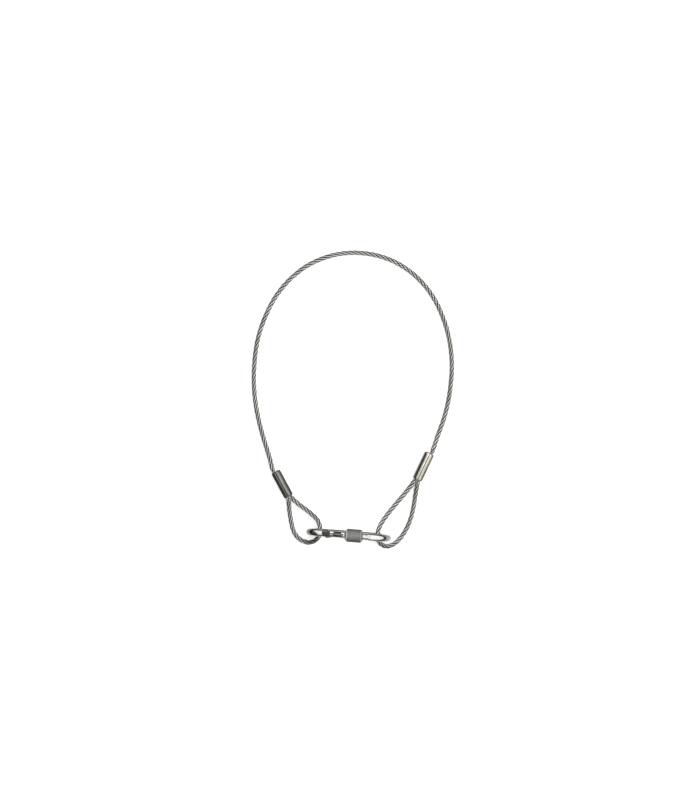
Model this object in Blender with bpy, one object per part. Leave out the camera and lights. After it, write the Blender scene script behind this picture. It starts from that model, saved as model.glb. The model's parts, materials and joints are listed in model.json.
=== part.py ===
"""Wire-rope safety sling: one steel rope with a pressed eye at each end, closed by a screw-lock carabiner.

The sling lies on the plane z = 0, with the middle of its outline at x = y = 0. The carabiner stands on
its back rod between the two eyes. Every length is in metres.
"""

import math

import bmesh
import bpy
from mathutils import Matrix, Vector
from mathutils.geometry import interpolate_bezier

# Rope
ROPE_RADIUS = 0.0020
PRESSED_RADIUS = 0.0013  # each leg inside a ferrule
RUN_STEP = 0.0124  # between the tube's points on the long run
EYE_STEP = 0.0054  # and round an eye
DEAD_END_PROUD = 0.0004  # the cut end past the ferrule's face

# Ferrules: the middle of each one's axis, and the direction from its eye to the long run
FERRULE_EDGE = 0.0006
LEG_OFFSET = 0.0015  # each leg from the ferrule's axis
LEFT_FERRULE = {"middle": (-0.0582, -0.0696), "heading": 118.3, "length": 0.0230, "radius": 0.0040, "outer": 1}
RIGHT_FERRULE = {"middle": (0.0579, -0.0551), "heading": 64.6, "length": 0.0240, "radius": 0.0043, "outer": -1}

# The rope's own route, from one ferrule to the next
LEFT_EYE = [
    (-0.0458, -0.0851, 0.0041),
    (-0.0389, -0.0903, 0.0050),
    (-0.0336, -0.0945, 0.0061),
    (-0.0295, -0.0987, 0.0075),
    (-0.0273, -0.1037, 0.0089),
    (-0.0270, -0.1088, 0.0094),
    (-0.0285, -0.1131, 0.0083),
    (-0.0320, -0.1164, 0.0060),
    (-0.0370, -0.1176, 0.0037),
    (-0.0429, -0.1156, 0.0024),
    (-0.0468, -0.1119, 0.0020),
    (-0.0494, -0.1066, 0.0020),
    (-0.0510, -0.0998, 0.0020),
    (-0.0522, -0.0919, 0.0024),
]
LONG_RUN = [
    (-0.0685, -0.0481, 0.0027),
    (-0.0739, -0.0306, 0.0020),
    (-0.0780, -0.0148, 0.0020),
    (-0.0805, 0.0000, 0.0020),
    (-0.0815, 0.0143, 0.0020),
    (-0.0812, 0.0281, 0.0020),
    (-0.0798, 0.0416, 0.0020),
    (-0.0769, 0.0548, 0.0020),
    (-0.0723, 0.0677, 0.0020),
    (-0.0662, 0.0803, 0.0020),
    (-0.0580, 0.0922, 0.0020),
    (-0.0477, 0.1027, 0.0020),
    (-0.0354, 0.1114, 0.0020),
    (-0.0213, 0.1174, 0.0020),
    (-0.0063, 0.1205, 0.0020),
    (0.0092, 0.1204, 0.0020),
    (0.0244, 0.1173, 0.0020),
    (0.0384, 0.1112, 0.0020),
    (0.0508, 0.1024, 0.0020),
    (0.0611, 0.0915, 0.0020),
    (0.0690, 0.0792, 0.0020),
    (0.0747, 0.0661, 0.0020),
    (0.0787, 0.0527, 0.0020),
    (0.0809, 0.0391, 0.0020),
    (0.0815, 0.0255, 0.0020),
    (0.0805, 0.0119, 0.0020),
    (0.0784, -0.0021, 0.0020),
    (0.0748, -0.0162, 0.0021),
    (0.0696, -0.0305, 0.0028),
]
RIGHT_EYE = [
    (0.0517, -0.0772, 0.0028),
    (0.0502, -0.0872, 0.0022),
    (0.0482, -0.0960, 0.0020),
    (0.0449, -0.1048, 0.0021),
    (0.0402, -0.1126, 0.0026),
    (0.0346, -0.1182, 0.0040),
    (0.0282, -0.1206, 0.0063),
    (0.0227, -0.1184, 0.0095),
    (0.0202, -0.1134, 0.0120),
    (0.0206, -0.1080, 0.0117),
    (0.0230, -0.1021, 0.0098),
    (0.0285, -0.0942, 0.0073),
    (0.0361, -0.0850, 0.0055),
    (0.0438, -0.0760, 0.0044),
]

# Carabiner: a rod bent in one plane. Its back rod is straight and lies on z = 0, and its two end bends
# differ in size, so the gate side rises from the hinge to the nose.
CARABINER_MIDDLE = (-0.0037, -0.1108)
CARABINER_TURN = -4.5  # degrees about z
CARABINER_LENGTH = 0.0700
ROD_RADIUS = 0.0030
HINGE_BEND = 0.0090  # to the rod's axis
NOSE_BEND = 0.0125

# Places along the gate side, counted from the hinge rivet towards the nose
RIVET_FROM_BEND = 0.0078
TONGUE_SHOULDER = -0.0049
GATE_TAIL = -0.0043
TONGUE_END = 0.0020
EAR_END = 0.0026
HINGE_SLOT_END = 0.0131
FORK_ROOT = 0.0288
CLAW_TIP = 0.0293
LATCH = (0.0314, -0.0004)  # along the gate, and outwards from its axis
GATE_TIP = 0.0334
NOSE_SHOULDER = 0.0338

# Gate sections
GATE_RADIUS = 0.0026
GATE_TAIL_ROUNDING = ((0, 0.0018), (0.0005, 0.0025), (0.0014, 0.0030))  # along and radius
EAR_TAPER = 0.0010
TONGUE_HALF = 0.0013
TONGUE_CORNER = 0.0008
HINGE_SLOT_HALF = 0.0016
CLAW_HALF = 0.0011
LATCH_SLOT_HALF = 0.0014
CLAW_UNDERSIDE = -0.00175  # the claw's lower edge, inwards from the gate's axis
EAR_FACE = 0.0027  # flats beside the rivet, from the carabiner's middle plane
SPRING_BORE = 0.0016
SPRING_BORE_END = 0.0235

# Small pieces
RIVET_RADIUS = 0.0010
RIVET_HEAD_RADIUS = 0.0019
RIVET_HEAD_TOP = 0.0038
PIN_RADIUS = 0.0009
PIN_HALF_LENGTH = 0.0023
PLUNGER_RADIUS = 0.0013
PLUNGER_NOSE_RADIUS = 0.0006
PLUNGER_PLACES = (0.0023, 0.0044, 0.0111, 0.0170)  # nose, front and back shoulders, stem's end
STEM_RADIUS = 0.0006
SPRING_WIRE = 0.00018
SPRING_COIL = 0.00112
SPRING_START, SPRING_END = 0.0118, 0.0231
SPRING_TURNS = 9
SLEEVE_START, SLEEVE_LENGTH = 0.0141, 0.0144
SLEEVE_RADIUS = 0.0055
SLEEVE_THREAD_RADIUS, SLEEVE_THREAD_LENGTH = 0.0029, 0.0080
SLEEVE_MOUTH_RADIUS = 0.0034  # clears the nose, which the locked sleeve reaches over
SLEEVE_CHAMFERS = ((0.0019, 0.0020), (0.0009, 0.0015))  # along and across, at the hinge and nose ends

GAP = 0.0003
EDGE = 0.0003  # small broken edges
PAST = 0.0010  # how far a cutter stands past what it cuts
ROUND_SIDES = 24
SMALL_SIDES = 16
SPRING_TURN_POINTS = 10
BEND_STEPS = (14, 16)  # rings round the hinge bend and the nose bend
ACROSS = (0, 0, math.radians(90))  # turns a piece from the x axis onto the y axis


def clear_scene():
    for item in list(bpy.data.objects):
        bpy.data.objects.remove(item)


def metal(name, colour, roughness):
    """A bare metal material with one colour and one roughness."""
    material = bpy.data.materials.new(name)
    material.use_nodes = True
    shader = material.node_tree.nodes["Principled BSDF"]
    shader.inputs["Base Color"].default_value = (*colour, 1.0)
    shader.inputs["Roughness"].default_value = roughness
    shader.inputs["Metallic"].default_value = 1.0
    return material


def add_object(name, data, material, parent=None, location=(0, 0, 0), rotation=(0, 0, 0)):
    item = bpy.data.objects.new(name, data)
    bpy.context.scene.collection.objects.link(item)
    item.parent = parent
    item.location = location
    item.rotation_euler = rotation
    if material:
        data.materials.append(material)
    return item


def add_axis(name, parent, location, rotation):
    """An empty that carries the pieces turning or sliding on one axis."""
    axis = add_object(name, None, None, parent, location, rotation)
    axis.empty_display_size = 0.01
    return axis


def finish_mesh(name, shape):
    """A smooth-shaded mesh with sharp edges kept, and with every face pointing out."""
    bmesh.ops.recalc_face_normals(shape, faces=shape.faces)
    mesh = bpy.data.meshes.new(name)
    shape.to_mesh(mesh)
    shape.free()
    mesh.shade_smooth()
    mesh.set_sharp_from_angle(angle=math.radians(35))
    return mesh


def skin_rings(name, rings, ends_meet=False):
    """A closed mesh over rings that have equally many points: capped, or round to the first ring again."""
    shape = bmesh.new()
    made = [[shape.verts.new(point) for point in ring] for ring in rings]
    pairs = list(zip(made, made[1:]))
    if ends_meet:
        pairs.append((made[-1], made[0]))
    else:
        shape.faces.new(made[0])
        shape.faces.new(made[-1])
    for first, second in pairs:
        for i in range(len(first)):
            j = (i + 1) % len(first)
            shape.faces.new((first[i], first[j], second[j], second[i]))
    return finish_mesh(name, shape)


def circle(along, radius, sides):
    """Points round the x axis, the first straight down, so that a rod rests on a corner."""
    turns = [2 * math.pi * i / sides for i in range(sides)]
    return [Vector((along, radius * math.sin(turn), -radius * math.cos(turn))) for turn in turns]


def turned(name, profile, sides, ends_meet=False):
    """A piece turned about the x axis, from (place along it, radius) pairs."""
    return skin_rings(name, [circle(along, radius, sides) for along, radius in profile], ends_meet)


def cut(body, name, shape, parent):
    """Takes a hidden cutter out of a body."""
    cutter = add_object(name, finish_mesh(name, shape), None, parent)
    cutter.hide_render = True
    cutter.display_type = "WIRE"
    boolean = body.modifiers.new(name, "BOOLEAN")
    boolean.operation = "DIFFERENCE"
    boolean.solver = "EXACT"
    boolean.object = cutter


def block(low, high):
    shape = bmesh.new()
    sizes = [top - bottom for bottom, top in zip(low, high)]
    middle = [(top + bottom) / 2 for bottom, top in zip(low, high)]
    bmesh.ops.create_cube(shape, size=1, matrix=Matrix.Translation(middle) @ Matrix.Diagonal((*sizes, 1)))
    return shape


def drill(centre, radius, depth, axis):
    """A round cutter of this depth, centred, along x or y."""
    across = Matrix.Rotation(math.radians(90), 4, "Y" if axis == "x" else "X")
    shape = bmesh.new()
    bmesh.ops.create_cone(
        shape,
        cap_ends=True,
        segments=SMALL_SIDES,
        radius1=radius,
        radius2=radius,
        depth=depth,
        matrix=Matrix.Translation(centre) @ across,
    )
    return shape


# Rope and ferrules


def ferrule_points(ferrule):
    """The mouths of both legs, as (leg, end): outer or inner leg, at the eye's end or the run's end."""
    heading = math.radians(ferrule["heading"])
    along = Vector((math.cos(heading), math.sin(heading), 0))
    outwards = Vector((-along.y, along.x, 0)) * ferrule["outer"]
    middle = Vector((*ferrule["middle"], ferrule["radius"]))
    points = {
        (leg, end): middle + outwards * LEG_OFFSET * side + along * ferrule["length"] / 2 * way
        for leg, side in (("outer", 1), ("inner", -1))
        for end, way in (("eye", -1), ("run", 1))
    }
    return points, along


def smooth_points(knots, first_way, last_way, step):
    """Points a step apart on a smooth curve through the knots, which leaves and arrives these ways."""
    knots = [Vector(knot) for knot in knots]
    ways = [first_way]
    for before, after in zip(knots, knots[2:]):
        ways.append((after - before).normalized())
    ways.append(last_way)
    fine = [knots[0]]
    for i, (start, end) in enumerate(zip(knots, knots[1:])):
        reach = (end - start).length / 3
        fine += interpolate_bezier(start, start + ways[i] * reach, end - ways[i + 1] * reach, end, 24)[1:]
    lengths = [0.0]
    for before, after in zip(fine, fine[1:]):
        lengths.append(lengths[-1] + (after - before).length)
    count = round(lengths[-1] / step)
    points, reached = [], 0
    for i in range(count + 1):
        wanted = lengths[-1] * i / count
        while reached < len(fine) - 2 and lengths[reached + 1] < wanted:
            reached += 1
        share = (wanted - lengths[reached]) / (lengths[reached + 1] - lengths[reached])
        points.append(fine[reached].lerp(fine[reached + 1], share))
    return points


def rope_route():
    """The rope's centreline from cut end to cut end, as (point, radius) pairs."""
    left, left_way = ferrule_points(LEFT_FERRULE)
    right, right_way = ferrule_points(RIGHT_FERRULE)
    stretches = [
        (left["inner", "eye"], LEFT_EYE, left["outer", "eye"], -left_way, left_way, EYE_STEP),
        (left["outer", "run"], LONG_RUN, right["outer", "run"], left_way, -right_way, RUN_STEP),
        (right["outer", "eye"], RIGHT_EYE, right["inner", "eye"], -right_way, right_way, EYE_STEP),
    ]
    route = [(left["inner", "run"] + left_way * DEAD_END_PROUD, PRESSED_RADIUS)]
    for start, knots, end, first_way, last_way, step in stretches:
        points = smooth_points([start, *knots, end], first_way, last_way, step)
        route.append((points[0], PRESSED_RADIUS))
        route += [(point, ROPE_RADIUS) for point in points[1:-1]]
        route.append((points[-1], PRESSED_RADIUS))
    route.append((right["inner", "run"] + right_way * DEAD_END_PROUD, PRESSED_RADIUS))
    return route


def make_rope(material):
    curve = bpy.data.curves.new("wire_rope", "CURVE")
    curve.dimensions = "3D"
    curve.bevel_depth = ROPE_RADIUS
    curve.bevel_resolution = 2
    curve.use_fill_caps = True
    route = rope_route()
    spline = curve.splines.new("POLY")
    spline.points.add(len(route) - 1)
    for knot, (point, radius) in zip(spline.points, route):
        knot.co = (*point, 1)
        knot.radius = radius / ROPE_RADIUS
    add_object("wire_rope", curve, material)


def oval(along, radius, half_spread, sides):
    """A stadium outline round the x axis: two half circles, a spread apart along y."""
    points = []
    for point in circle(along, radius, sides):
        side = 0 if abs(point.y) < radius * 0.01 else math.copysign(half_spread, point.y)
        points.append(point + Vector((0, side, 0)))
    return points


def make_ferrule(name, ferrule, material):
    """A pressed sleeve with a rounded outer edge and an oval bore for the rope's two legs."""
    half, radius = ferrule["length"] / 2, ferrule["radius"]
    bore = PRESSED_RADIUS + GAP
    rings = [
        circle(-half, radius - FERRULE_EDGE, ROUND_SIDES),
        circle(-half + FERRULE_EDGE, radius, ROUND_SIDES),
        circle(half - FERRULE_EDGE, radius, ROUND_SIDES),
        circle(half, radius - FERRULE_EDGE, ROUND_SIDES),
        oval(half, bore, LEG_OFFSET, ROUND_SIDES),
        oval(-half, bore, LEG_OFFSET, ROUND_SIDES),
    ]
    mesh = skin_rings(name, rings, ends_meet=True)
    location = (*ferrule["middle"], radius)
    add_object(name, mesh, material, None, location, (0, 0, math.radians(ferrule["heading"])))


# Carabiner


def carabiner_shape():
    """The two bends' centres and the gate side's rise, with the back rod's axis on the x axis."""
    reach = CARABINER_LENGTH / 2 - ROD_RADIUS
    hinge = Vector((-reach + HINGE_BEND, 0, HINGE_BEND))
    nose = Vector((reach - NOSE_BEND, 0, NOSE_BEND))
    rise = 2 * math.atan2(nose.z - hinge.z, nose.x - hinge.x)
    return hinge, nose, rise


def rivet_place():
    """The hinge's axis in the carabiner's own frame."""
    hinge, _, rise = carabiner_shape()
    start = hinge + Vector((-math.sin(rise), 0, math.cos(rise))) * HINGE_BEND
    return start + Vector((math.cos(rise), 0, math.sin(rise))) * RIVET_FROM_BEND


def bend_rings(centre, radius, first, last, steps):
    """Rings round a bend from one angle to the other, counted in degrees from the x axis towards z."""
    rings = []
    for i in range(steps + 1):
        angle = math.radians(first + (last - first) * i / steps)
        place = Matrix.Translation(centre) @ Matrix.Rotation(-angle - math.pi / 2, 4, "Y")
        shift = Vector((0, 0, -radius))
        rings.append([place @ (point + shift) for point in circle(0, ROD_RADIUS, ROUND_SIDES)])
    return rings


def gate_side_rings(stations):
    """Rings square to the gate side, at (place along it, radius) pairs."""
    _, _, rise = carabiner_shape()
    place = Matrix.Translation(rivet_place()) @ Matrix.Rotation(math.pi - rise, 4, "Y")
    return [[place @ point for point in circle(-along, radius, ROUND_SIDES)] for along, radius in stations]


def cut_flats(body, name, half_width, ends, gate_axis):
    """Leaves only a middle slab of the rod between two places along the gate side."""
    tall = ROD_RADIUS + PAST
    for side in (-1, 1):
        inner, outer = sorted((side * half_width, side * tall))
        cut(body, f"{name}_{side}", block((ends[0], inner, -tall), (ends[1], outer, tall)), gate_axis)


def make_carabiner_body(material, roll_axis, gate_axis):
    """The bent rod, with a flat tongue at the hinge and a notched claw at the nose."""
    hinge, nose, rise = carabiner_shape()
    lean = 90 + math.degrees(rise)
    end = TONGUE_END, ROD_RADIUS - TONGUE_CORNER
    rings = gate_side_rings([end, (TONGUE_END - TONGUE_CORNER, ROD_RADIUS)])
    rings += bend_rings(hinge, HINGE_BEND, lean, 270, BEND_STEPS[0])
    rings += bend_rings(nose, NOSE_BEND, -90, lean, BEND_STEPS[1])
    rings += gate_side_rings([(CLAW_TIP, ROD_RADIUS)])
    body = add_object("carabiner_body", skin_rings("carabiner_body", rings), material, roll_axis)
    cut_flats(body, "tongue_flat", TONGUE_HALF, (TONGUE_SHOULDER, TONGUE_END + PAST), gate_axis)
    cut_flats(body, "claw_flat", CLAW_HALF, (CLAW_TIP - PAST, NOSE_SHOULDER), gate_axis)
    along, out = LATCH
    notch = PIN_RADIUS + GAP
    wide = CLAW_HALF + PAST
    low = -ROD_RADIUS - PAST
    cut(body, "claw_notch", block((along - notch, -wide, low), (along + notch, wide, out + notch)), gate_axis)
    underside = block((CLAW_TIP - PAST, -wide, low), (along, wide, CLAW_UNDERSIDE))
    cut(body, "claw_underside", underside, gate_axis)
    cut(body, "tongue_hole", drill((0, 0, 0), RIVET_RADIUS + GAP, 4 * ROD_RADIUS, "y"), gate_axis)


def make_gate(material, gate_axis):
    """The gate rod: forked round the tongue at the hinge, and forked again round the claw at the latch."""
    profile = [(GATE_TAIL + along, radius) for along, radius in GATE_TAIL_ROUNDING]
    profile += [
        (EAR_END, ROD_RADIUS),
        (EAR_END + EAR_TAPER, GATE_RADIUS),
        (GATE_TIP - EDGE, GATE_RADIUS),
        (GATE_TIP, GATE_RADIUS - EDGE),
    ]
    gate = add_object("gate", turned("gate", profile, ROUND_SIDES), material, gate_axis)
    tall = ROD_RADIUS + PAST
    slot = block((GATE_TAIL - PAST, -HINGE_SLOT_HALF, -tall), (HINGE_SLOT_END, HINGE_SLOT_HALF, tall))
    cut(gate, "hinge_slot", slot, gate_axis)
    slot = block((FORK_ROOT, -LATCH_SLOT_HALF, -tall), (GATE_TIP + PAST, LATCH_SLOT_HALF, tall))
    cut(gate, "latch_slot", slot, gate_axis)
    cut_flats(gate, "ear_flat", EAR_FACE, (GATE_TAIL - PAST, RIVET_HEAD_RADIUS + PAST), gate_axis)
    bore_start = HINGE_SLOT_END - PAST
    bore_middle = (bore_start + SPRING_BORE_END) / 2
    bore = drill((bore_middle, 0, 0), SPRING_BORE, SPRING_BORE_END - bore_start, "x")
    cut(gate, "spring_bore", bore, gate_axis)
    cut(gate, "rivet_hole", drill((0, 0, 0), RIVET_RADIUS + GAP, 4 * ROD_RADIUS, "y"), gate_axis)
    latch = (LATCH[0], 0, LATCH[1])
    cut(gate, "pin_hole", drill(latch, PIN_RADIUS + GAP, 4 * ROD_RADIUS, "y"), gate_axis)


def make_rivet(material, roll_axis):
    """The hinge rivet, with a low head on each side."""
    under = EAR_FACE + GAP
    half = [
        (under, RIVET_RADIUS),
        (under, RIVET_HEAD_RADIUS),
        (RIVET_HEAD_TOP - EDGE, RIVET_HEAD_RADIUS),
        (RIVET_HEAD_TOP, RIVET_HEAD_RADIUS - 2 * EDGE),
    ]
    profile = [(-along, radius) for along, radius in reversed(half)] + half
    mesh = turned("hinge_rivet", profile, SMALL_SIDES)
    add_object("hinge_rivet", mesh, material, roll_axis, rivet_place(), ACROSS)


def make_latch_pin(material, gate_axis):
    profile = [
        (-PIN_HALF_LENGTH, PIN_RADIUS - EDGE),
        (-PIN_HALF_LENGTH + EDGE, PIN_RADIUS),
        (PIN_HALF_LENGTH - EDGE, PIN_RADIUS),
        (PIN_HALF_LENGTH, PIN_RADIUS - EDGE),
    ]
    mesh = turned("latch_pin", profile, SMALL_SIDES)
    add_object("latch_pin", mesh, material, gate_axis, (LATCH[0], 0, LATCH[1]), ACROSS)


def make_plunger(material, gate_axis):
    """The plunger: a slim nose that presses on the tongue, and behind it the stem that the spring sits on."""
    nose, front, back, end = PLUNGER_PLACES
    profile = [
        (nose, PLUNGER_NOSE_RADIUS),
        (front, PLUNGER_NOSE_RADIUS),
        (front, PLUNGER_RADIUS - EDGE),
        (front + EDGE, PLUNGER_RADIUS),
        (back, PLUNGER_RADIUS),
        (back, STEM_RADIUS),
        (end, STEM_RADIUS),
    ]
    add_object("spring_plunger", turned("spring_plunger", profile, SMALL_SIDES), material, gate_axis)


def make_spring(material, gate_axis):
    curve = bpy.data.curves.new("gate_spring", "CURVE")
    curve.dimensions = "3D"
    curve.bevel_depth = SPRING_WIRE
    curve.bevel_resolution = 1
    curve.use_fill_caps = True
    count = SPRING_TURNS * SPRING_TURN_POINTS
    spline = curve.splines.new("POLY")
    spline.points.add(count)
    for i, knot in enumerate(spline.points):
        along = SPRING_START + (SPRING_END - SPRING_START) * i / count
        turn = 2 * math.pi * i / SPRING_TURN_POINTS
        knot.co = (along, SPRING_COIL * math.sin(turn), SPRING_COIL * math.cos(turn), 1)
    add_object("gate_spring", curve, material, gate_axis)


def make_sleeve(material, gate_axis):
    """The screw sleeve: a threaded bore at the hinge end, and a wider one that passes over the nose."""
    end = SLEEVE_START + SLEEVE_LENGTH
    step = SLEEVE_START + SLEEVE_THREAD_LENGTH
    (hinge_along, hinge_across), (nose_along, nose_across) = SLEEVE_CHAMFERS
    profile = [
        (SLEEVE_START, SLEEVE_RADIUS - hinge_across),
        (SLEEVE_START + hinge_along, SLEEVE_RADIUS),
        (end - nose_along, SLEEVE_RADIUS),
        (end, SLEEVE_RADIUS - nose_across),
        (end, SLEEVE_MOUTH_RADIUS),
        (step, SLEEVE_MOUTH_RADIUS),
        (step, SLEEVE_THREAD_RADIUS),
        (SLEEVE_START, SLEEVE_THREAD_RADIUS),
    ]
    mesh = turned("locking_sleeve", profile, ROUND_SIDES, ends_meet=True)
    add_object("locking_sleeve", mesh, material, gate_axis)


def build():
    clear_scene()
    rope_steel = metal("rope_steel", (0.36, 0.36, 0.34), 0.38)
    ferrule_metal = metal("ferrule_metal", (0.42, 0.41, 0.39), 0.30)
    polished = metal("polished_steel", (0.62, 0.62, 0.60), 0.14)
    pin_steel = metal("pin_steel", (0.38, 0.38, 0.36), 0.32)
    spring_steel = metal("spring_steel", (0.50, 0.50, 0.48), 0.28)
    knurled = metal("knurled_steel", (0.34, 0.34, 0.32), 0.48)

    make_rope(rope_steel)
    make_ferrule("left_ferrule", LEFT_FERRULE, ferrule_metal)
    make_ferrule("right_ferrule", RIGHT_FERRULE, ferrule_metal)

    turn = (0, 0, math.radians(CARABINER_TURN))
    roll_axis = add_axis("roll_axis", None, (*CARABINER_MIDDLE, ROD_RADIUS), turn)
    _, _, rise = carabiner_shape()
    gate_axis = add_axis("gate_axis", roll_axis, rivet_place(), (0, -rise, 0))
    make_carabiner_body(polished, roll_axis, gate_axis)
    make_rivet(pin_steel, roll_axis)
    make_gate(polished, gate_axis)
    make_latch_pin(pin_steel, gate_axis)
    make_plunger(pin_steel, gate_axis)
    make_spring(spring_steel, gate_axis)
    make_sleeve(knurled, gate_axis)


build()
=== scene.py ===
"""Looks of the wire-rope safety sling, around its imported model.

Every piece is built again at the CAD's places and sizes with the detail that shows: a stranded rope,
pressed ferrules, a knurled sleeve and smooth bent rods. Lengths are in metres and angles in degrees.
"""

import json
import math

import bmesh
import bpy
from mathutils import Matrix, Vector
from mathutils.geometry import interpolate_bezier


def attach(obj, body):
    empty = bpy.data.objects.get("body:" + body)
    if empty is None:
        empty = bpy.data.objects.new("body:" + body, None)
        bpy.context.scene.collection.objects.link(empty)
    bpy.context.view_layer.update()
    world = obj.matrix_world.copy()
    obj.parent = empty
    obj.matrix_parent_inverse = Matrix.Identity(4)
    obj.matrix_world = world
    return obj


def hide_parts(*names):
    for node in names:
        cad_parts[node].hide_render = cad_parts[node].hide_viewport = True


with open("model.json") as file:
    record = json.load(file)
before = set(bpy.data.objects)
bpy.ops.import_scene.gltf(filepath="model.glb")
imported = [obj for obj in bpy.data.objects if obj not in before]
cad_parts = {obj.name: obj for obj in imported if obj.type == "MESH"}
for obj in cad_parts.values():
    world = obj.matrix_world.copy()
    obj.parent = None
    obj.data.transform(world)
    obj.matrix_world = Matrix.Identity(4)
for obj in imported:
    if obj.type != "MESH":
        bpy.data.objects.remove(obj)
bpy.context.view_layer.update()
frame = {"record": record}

# Rope
ROPE_RADIUS = 0.0020
PRESSED_SHARE = 0.0013 / ROPE_RADIUS  # of its full size, inside a ferrule
PRESS_TAPER = 0.0035  # how far outside a ferrule the rope is back at its full size
ROPE_STEP = 0.000625
ROUTE_STEPS = 48  # fine points from one of the route's knots to the next
ROPE_LAY = 0.0238  # along the rope for each turn of a strand
STRANDS = 5
STRAND_SHARE = math.sin(math.pi / STRANDS)
STRAND_RADIUS = ROPE_RADIUS * STRAND_SHARE / (1 + STRAND_SHARE)  # each strand touches its neighbours
WIRES = 7
WIRE_LAY = 0.0095
WIRE_VALLEY = 0.80  # of the strand's radius, between two wires
CORE_RADIUS = 0.95 * STRAND_RADIUS
CORE_SIDES = 6
CORE_STEP = 2  # the core needs only every second point of the rope
DEAD_END_PROUD = 0.0004

# Ferrules: the middle of each one's axis, the heading from its eye to the long run, which side of the
# axis the long run's leg lies on, and where its crease runs, round from the top
LEG_OFFSET = 0.0015
LEFT_FERRULE = {
    "middle": (-0.0582, -0.0696),
    "heading": 118.3,
    "length": 0.0230,
    "radius": 0.0040,
    "outer": 1,
    "crease": 10,
}
RIGHT_FERRULE = {
    "middle": (0.0579, -0.0551),
    "heading": 64.6,
    "length": 0.0240,
    "radius": 0.0043,
    "outer": -1,
    "crease": -4,
}
CREASE_DEPTH = 0.00030
CREASE_WIDTH = 0.00045
FERRULE_ROUNDING = (0.0014, 0.0006)  # along the ferrule and across it
FERRULE_BORE = 0.00136
FERRULE_MOUTH = ((0.0001, 0.00165), (0.0007, 0.00142))  # how far in from the end, and the bore's radius
FERRULE_SIDES = 180
ROUNDING_STEPS = 6

# The rope's own route, as in the CAD model
LEFT_EYE = [
    (-0.0458, -0.0851, 0.0041),
    (-0.0389, -0.0903, 0.0050),
    (-0.0336, -0.0945, 0.0061),
    (-0.0295, -0.0987, 0.0075),
    (-0.0273, -0.1037, 0.0089),
    (-0.0270, -0.1088, 0.0094),
    (-0.0285, -0.1131, 0.0083),
    (-0.0320, -0.1164, 0.0060),
    (-0.0370, -0.1176, 0.0037),
    (-0.0429, -0.1156, 0.0024),
    (-0.0468, -0.1119, 0.0020),
    (-0.0494, -0.1066, 0.0020),
    (-0.0510, -0.0998, 0.0020),
    (-0.0522, -0.0919, 0.0024),
]
LONG_RUN = [
    (-0.0685, -0.0481, 0.0027),
    (-0.0739, -0.0306, 0.0020),
    (-0.0780, -0.0148, 0.0020),
    (-0.0805, 0.0000, 0.0020),
    (-0.0815, 0.0143, 0.0020),
    (-0.0812, 0.0281, 0.0020),
    (-0.0798, 0.0416, 0.0020),
    (-0.0769, 0.0548, 0.0020),
    (-0.0723, 0.0677, 0.0020),
    (-0.0662, 0.0803, 0.0020),
    (-0.0580, 0.0922, 0.0020),
    (-0.0477, 0.1027, 0.0020),
    (-0.0354, 0.1114, 0.0020),
    (-0.0213, 0.1174, 0.0020),
    (-0.0063, 0.1205, 0.0020),
    (0.0092, 0.1204, 0.0020),
    (0.0244, 0.1173, 0.0020),
    (0.0384, 0.1112, 0.0020),
    (0.0508, 0.1024, 0.0020),
    (0.0611, 0.0915, 0.0020),
    (0.0690, 0.0792, 0.0020),
    (0.0747, 0.0661, 0.0020),
    (0.0787, 0.0527, 0.0020),
    (0.0809, 0.0391, 0.0020),
    (0.0815, 0.0255, 0.0020),
    (0.0805, 0.0119, 0.0020),
    (0.0784, -0.0021, 0.0020),
    (0.0748, -0.0162, 0.0021),
    (0.0696, -0.0305, 0.0028),
]
RIGHT_EYE = [
    (0.0517, -0.0772, 0.0028),
    (0.0502, -0.0872, 0.0022),
    (0.0482, -0.0960, 0.0020),
    (0.0449, -0.1048, 0.0021),
    (0.0402, -0.1126, 0.0026),
    (0.0346, -0.1182, 0.0040),
    (0.0282, -0.1206, 0.0063),
    (0.0227, -0.1184, 0.0095),
    (0.0202, -0.1134, 0.0120),
    (0.0206, -0.1080, 0.0117),
    (0.0230, -0.1021, 0.0098),
    (0.0285, -0.0942, 0.0073),
    (0.0361, -0.0850, 0.0055),
    (0.0438, -0.0760, 0.0044),
]

# Carabiner, as in the CAD model
CARABINER_MIDDLE = (-0.0037, -0.1108)
CARABINER_TURN = -4.5
CARABINER_LENGTH = 0.0700
ROD_RADIUS = 0.0030
HINGE_BEND = 0.0090
NOSE_BEND = 0.0125
RIVET_FROM_BEND = 0.0078
HINGE_BEND_STEPS, NOSE_BEND_STEPS = 40, 48
ROD_SIDES = 64
DOWN = 270  # the way from a bend's centre to the back rod

# Places along the gate side, from the rivet, and sizes across it
TONGUE_BACK = -0.0060  # on the plain rod
TONGUE_SHOULDER = -0.0049
GATE_TAIL = -0.0043
TONGUE_END = 0.0020
EAR_END = 0.0026
EAR_TAPER = 0.0010
EAR_SLOT_END = 0.0030
HINGE_SLOT_END = 0.0131
FORK_ROOT = 0.0288
CLAW_TIP = 0.0293
LATCH = (0.0314, -0.0004)
GATE_TIP = 0.0334
NOSE_SHOULDER = 0.0338
GATE_RADIUS = 0.0026
GATE_END_FLAT = 0.0012
GATE_ROUNDING, GATE_ROUNDING_STEPS = 0.0011, 5
TONGUE_HALF = 0.00155
TONGUE_CORNER = 0.0008
TONGUE_TOP = 0.0021  # the tongue is lower than the gate's ears on both sides
EAR_SLOT_HALF = 0.00185
HINGE_SLOT_HALF = 0.0016
CLAW_HALF = 0.0011
CLAW_UNDERSIDE = -0.00175
LATCH_SLOT_HALF = 0.0014
EAR_FACE = 0.0027
SPRING_BORE = 0.0016
SPRING_BORE_END = 0.0235

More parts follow.
